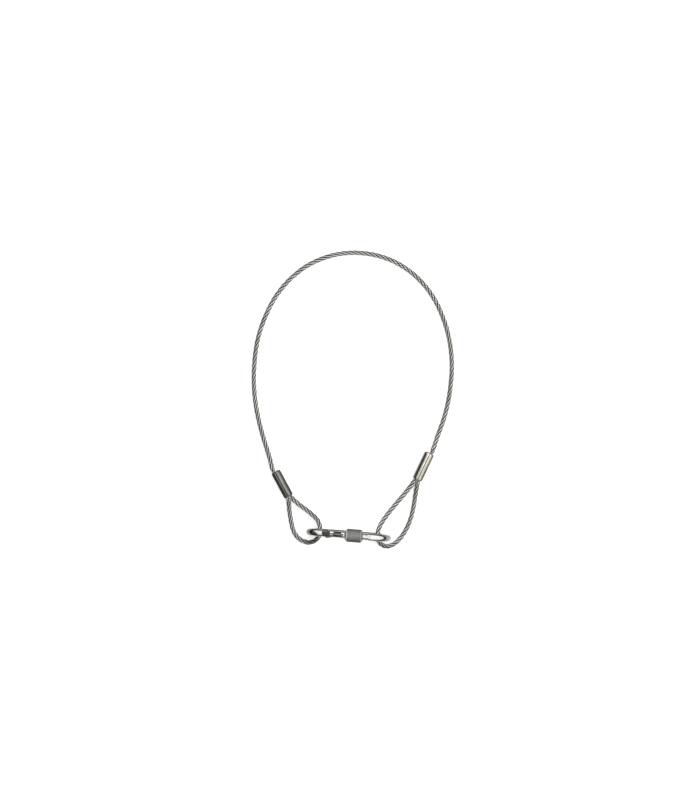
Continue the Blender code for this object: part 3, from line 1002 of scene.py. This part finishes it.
def rope_steel():
    """Drawn wire, coloured bright on the strands' outer sides and painted dark between them as shade."""
    look = Look("rope_steel")
    stops = [
        (0.70, (0.015, 0.015, 0.014)),
        (0.84, (0.11, 0.11, 0.104)),
        (0.93, (0.44, 0.44, 0.415)),
        (1.0, (0.68, 0.68, 0.64)),
    ]
    # painted shade: the colour falls from the strands' outer sides to near black in the gaps between them
    wires = look.ramp(look.kept_value("outness"), stops)
    patches = look.ramp(look.noise(scale=90, detail=3), [(0.35, 0.82), (0.65, 1.0)])
    colour = look.blend(wires, patches, "MULTIPLY")
    rough = look.ramp(look.noise(scale=900, detail=4), [(0.3, 0.26), (0.7, 0.40)])
    grain = look.bump(look.noise(scale=9000, detail=3), distance=0.00002, strength=0.5)
    return look.paint(colour, grain, rough)


def ferrule_metal(name, dark, light, smooth):
    """Pressed metal between two tones: drawn lengthways, with dull patches, fine scratches and painted shade
    along the crease.
    """
    look = Look(name)
    drawn = look.noise(scale=2600, detail=3, stretch=(0.04, 1, 1))
    streaks = look.ramp(drawn, [(0.3, dark), (0.7, light)])
    dull = look.ramp(look.noise(scale=160, detail=4), [(0.4, 0.80), (0.62, 1.0)])
    # painted shade: the colour is darkened along the pressing's crease
    painted_crease_shade = look.ramp(look.kept_value("crease"), [(0.2, 1.0), (0.8, 0.22)])
    colour = look.blend(look.blend(streaks, dull, "MULTIPLY"), painted_crease_shade, "MULTIPLY")
    handled = look.noise(scale=420, detail=4, stretch=(0.1, 1, 1))
    rough = look.ramp(handled, [(0.3, smooth), (0.75, smooth + 0.15)])
    scratches = look.bump(drawn, distance=0.00004, strength=0.35)
    return look.paint(colour, scratches, rough)


def polished_steel():
    """Plated steel: a mirror with faint haze, hairline scratches and a slight ripple of the bent rod."""
    look = Look("polished_steel")
    haze = look.noise(scale=220, detail=4)
    tone = look.ramp(haze, [(0.35, (0.60, 0.60, 0.575)), (0.65, (0.70, 0.70, 0.68))])
    rough = look.ramp(look.noise(scale=700, detail=5), [(0.3, 0.07), (0.75, 0.17)])
    ripple = look.bump(look.noise(scale=260, detail=2), distance=0.00008, strength=0.25)
    hairlines = look.noise(scale=5200, detail=3, stretch=(0.12, 1, 1))
    scratched = look.bump(hairlines, distance=0.00001, strength=0.30, under=ripple)
    return look.paint(tone, scratched, rough)


def milled_painted_shade_steel():
    """The faces inside the slots: dull, and painted dark as the shade inside them."""
    look = Look("milled_painted_shade_steel")
    marks = look.noise(scale=3000, detail=3, stretch=(1, 0.12, 0.12))
    # painted shade: the faces inside the slots are coloured almost black
    tone = look.ramp(marks, [(0.3, (0.04, 0.04, 0.038)), (0.7, (0.07, 0.07, 0.066))])
    rough = look.ramp(look.noise(scale=2400, detail=3), [(0.3, 0.38), (0.7, 0.55)])
    grooves = look.noise(scale=5000, detail=3, stretch=(1, 0.2, 0.2))
    return look.paint(tone, look.bump(grooves, distance=0.00002, strength=0.5), rough)


def pin_steel(name, dark, light):
    """Turned steel between two greys, with fine rings."""
    look = Look(name)
    tone = look.ramp(look.noise(scale=900, detail=4), [(0.3, dark), (0.7, light)])
    rough = look.ramp(look.noise(scale=1800, detail=4), [(0.3, 0.24), (0.7, 0.40)])
    rings = look.noise(scale=7000, detail=2, stretch=(1, 0.1, 0.1))
    return look.paint(tone, look.bump(rings, distance=0.00002, strength=0.5), rough)


def spring_steel():
    """Drawn spring wire with a fine grain."""
    look = Look("spring_steel")
    shade = look.noise(scale=1200, detail=3)
    tone = look.ramp(shade, [(0.3, (0.42, 0.42, 0.40)), (0.7, (0.58, 0.58, 0.55))])
    rough = look.ramp(look.noise(scale=2500, detail=3), [(0.3, 0.22), (0.7, 0.36)])
    grain = look.bump(look.noise(scale=9000, detail=2), distance=0.00001, strength=0.4)
    return look.paint(tone, grain, rough)


def knurled_steel():
    """Matte knurled steel, painted dark in the knurl's grooves as shade and light on its points."""
    look = Look("knurled_steel")
    # painted shade: the colour darkens from the knurl's points into its grooves
    stops = [(0.15, (0.07, 0.07, 0.066)), (0.75, (0.62, 0.62, 0.585))]
    tone = look.ramp(look.kept_value("knurl_height_for_shade"), stops)
    patches = look.ramp(look.noise(scale=1500, detail=5), [(0.3, 0.80), (0.7, 1.0)])
    rough = look.ramp(look.noise(scale=3000, detail=4), [(0.3, 0.42), (0.7, 0.58)])
    grit = look.bump(look.noise(scale=6000, detail=4), distance=0.00003, strength=0.6)
    return look.paint(look.blend(tone, patches, "MULTIPLY"), grit, rough)


def floor_white():
    """Matte white ground with the faintest mottling, which glows a little to stay white to its edge."""
    look = Look("floor_white", metallic=0.0)
    tone = look.ramp(look.noise(scale=14, detail=3), [(0.3, 0.93), (0.7, 0.95)])
    look.shader.inputs["Roughness"].default_value = 0.9
    look.shader.inputs["Specular IOR Level"].default_value = 0.1
    look.shader.inputs["Emission Color"].default_value = (1.0, 1.0, 1.0, 1.0)
    look.shader.inputs["Emission Strength"].default_value = 0.35
    return look.paint(tone, look.bump(look.noise(scale=900, detail=3), distance=0.00005, strength=0.2))


# Surroundings


def make_floor():
    """The ground, which the metals don't mirror: they show the lower half of the tent."""
    shape = bmesh.new()
    bmesh.ops.create_circle(shape, cap_ends=True, segments=FLOOR_SIDES, radius=FLOOR_RADIUS)
    floor = mesh_object("floor", finish_mesh("floor", shape), Matrix.Translation((0, 0, -FLOOR_DROP)))
    floor.data.materials.append(floor_white())
    floor.visible_glossy = False


def tent_ramp(tent, way, stops):
    """Greys from one side of the tent to the other; a stop's place is -1 to 1 towards this way."""
    share = tent.node("ShaderNodeVectorMath", operation="DOT_PRODUCT")
    share.inputs[1].default_value = way
    tent.link(tent.coordinates["Generated"], share, 0)
    scaled = tent.node("ShaderNodeMapRange")
    scaled.inputs["From Min"].default_value = -1.0
    tent.link(share.outputs["Value"], scaled, "Value")
    return tent.ramp(scaled.outputs["Result"], [((place + 1) / 2, grey) for place, grey in stops])


def make_world():
    """A white tent: bright above, dark at its open left side and along the horizon, and grey below.

    It is bright again straight down, like the ground there.
    """
    world = bpy.data.worlds.new("tent")
    bpy.context.scene.world = world
    world.use_nodes = True
    tent = Nodes(world.node_tree)
    right, up, corner = (1, 0, 0), (0, 0, 1), (0.97, 0.24, 0)
    above = tent_ramp(tent, up, [(0.0, 0.04), (0.20, 0.04), (0.32, 0.9), (1.0, 1.0)])
    open_side = tent_ramp(tent, corner, [(-0.60, 0.07), (-0.44, 1.0)])
    sky = tent.blend(above, open_side, "MULTIPLY")
    sides = tent_ramp(tent, right, [(-1.0, 0.34), (-0.45, 0.05), (0.45, 0.05), (1.0, 0.60)])
    below = tent_ramp(tent, up, [(-0.72, 0.80), (-0.56, 0.0)])
    ground = tent.blend(sides, below, "LIGHTEN")
    upper = tent_ramp(tent, up, [(-0.22, 0.0), (-0.14, 1.0)])
    background = tent.tree.nodes["Background"]
    tent.link(tent.blend(ground, sky, "MIX", share=upper), background, "Color")
    background.inputs["Strength"].default_value = TENT_STRENGTH


def make_light():
    """A soft square light overhead, turned to the object."""
    light = bpy.data.lights.new("overhead", "AREA")
    light.shape = "SQUARE"
    light.size = LIGHT_SIZE
    light.energy = LIGHT_POWER
    item = bpy.data.objects.new("overhead", light)
    bpy.context.scene.collection.objects.link(item)
    item.location = LIGHT_PLACE
    item.rotation_euler = (-Vector(LIGHT_PLACE)).to_track_quat("-Z", "Y").to_euler()


def make_camera():
    """A camera straight above, looking down, with plain colours."""
    camera = bpy.data.cameras.new("camera")
    camera.sensor_width = SENSOR * 1000
    camera.lens = camera.sensor_width * CAMERA_HEIGHT / VIEW_HEIGHT
    camera.clip_end = CAMERA_REACH
    item = bpy.data.objects.new("camera", camera)
    bpy.context.scene.collection.objects.link(item)
    item.location = (*VIEW_CENTRE, CAMERA_HEIGHT)
    bpy.context.scene.camera = item
    bpy.context.scene.view_settings.view_transform = "Standard"


def make_sling():
    """The rope and its two ferrules, of one metal in two copies: the left one duller and painted dark as
    shade, the right one painted bright as lit.
    """
    # painted shade and painted light: one ferrule metal, in a dark copy for the left ferrule and a bright
    # copy for the right
    dull = ferrule_metal("dull_shaded_ferrule_metal", (0.12, 0.12, 0.11), (0.21, 0.21, 0.19), smooth=0.38)
    bright = ferrule_metal("ferrule_metal", (0.47, 0.45, 0.39), (0.64, 0.62, 0.54), smooth=0.16)
    make_rope(rope_steel())
    make_ferrule("left_pressed_ferrule", "left_ferrule", LEFT_FERRULE, dull)
    make_ferrule("right_pressed_ferrule", "right_ferrule", RIGHT_FERRULE, bright)


def make_carabiner():
    """The rod, the gate and all that they carry."""
    polished, milled_shade = polished_steel(), milled_painted_shade_steel()
    pins = pin_steel("pin_steel", 0.30, 0.44)
    make_carabiner_body(polished, milled_shade)
    make_gate(polished, milled_shade)
    make_rivet(pins)
    make_latch_pin(pins)
    # painted shade: the plunger is the pins' steel, painted darker for the shade in its slot
    make_plunger(pin_steel("shaded_plunger_steel", 0.13, 0.22))
    make_spring(spring_steel())
    make_sleeve(knurled_steel())


make_camera()
make_floor()
make_world()
make_light()
make_sling()
make_carabiner()
